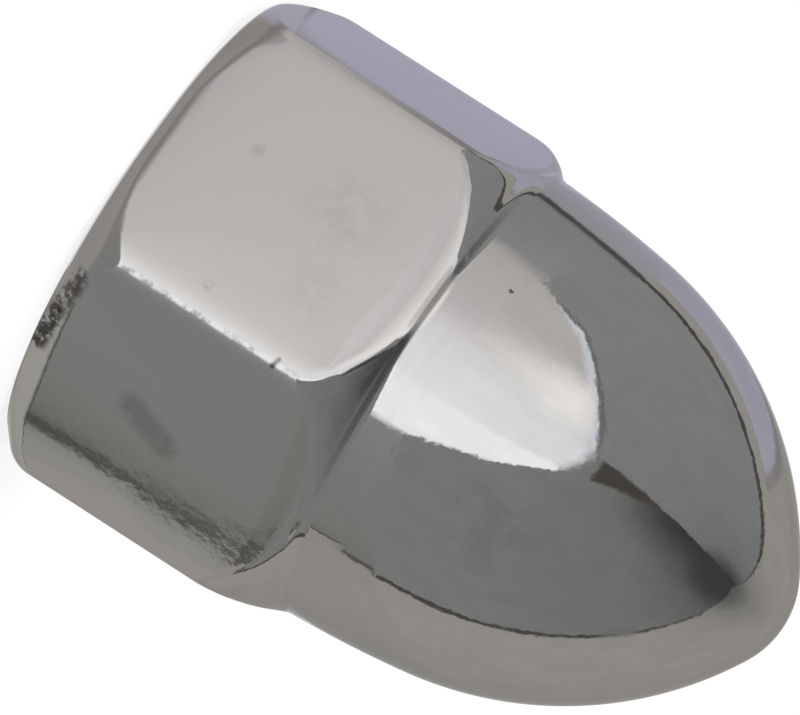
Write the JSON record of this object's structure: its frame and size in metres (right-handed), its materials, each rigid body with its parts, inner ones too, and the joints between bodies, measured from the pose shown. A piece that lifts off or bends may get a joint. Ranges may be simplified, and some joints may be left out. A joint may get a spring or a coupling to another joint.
{
  "type": "cap nut",
  "caption": "Hexagon cap nut with a tall closed ogive crown and a blind threaded bore; it covers and secures the end of a stud or screw.",
  "frame": {"origin": "centre of the bearing face, on the thread axis", "axes": "+Z along the thread axis towards the crown; +X square to one flat of the hexagon"},
  "size_m": [0.013, 0.0148, 0.019],
  "materials": {
    "chrome": "bright chrome plate over polished steel"
  },
  "bodies": {
    "root": {"cap_nut": "chrome"}
  },
  "joints": []
}
